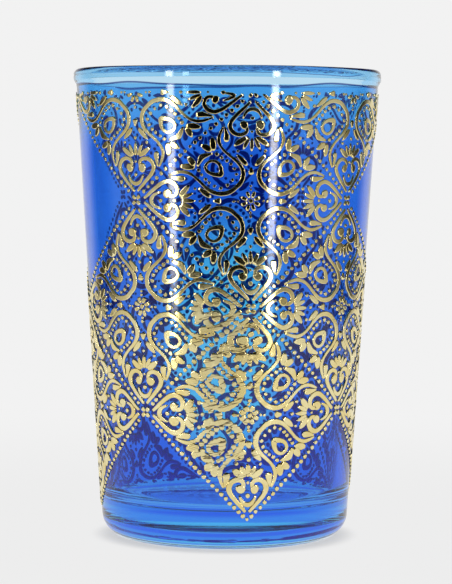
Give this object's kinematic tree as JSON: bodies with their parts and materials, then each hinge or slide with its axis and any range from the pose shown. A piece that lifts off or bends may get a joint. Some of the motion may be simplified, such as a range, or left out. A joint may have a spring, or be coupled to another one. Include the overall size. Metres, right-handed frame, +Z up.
{
  "type": "tea glass",
  "caption": "tapered cobalt blue tea glass with a rounded heel, thick foot, beaded rim and raised gold arabesque gilding in a diamond net",
  "frame": {"origin": "centre of the resting plane, under the middle of the glass", "axes": "+Z up along the glass's axis, -Y towards the front as the picture shows it, +X to the right"},
  "size_m": [0.059, 0.059, 0.09],
  "materials": {
    "cobalt_glass": "clear cobalt blue pressed glass, fire-polished",
    "fired_gold": "raised fired gold, satin"
  },
  "bodies": {
    "root": {"glass_tumbler": "cobalt_glass", "gold_net_lines": "fired_gold", "gold_crossing_flowers": "fired_gold", "gold_arches": "fired_gold", "gold_hearts": "fired_gold", "gold_pears": "fired_gold", "gold_rosettes": "fired_gold"}
  },
  "joints": []
}
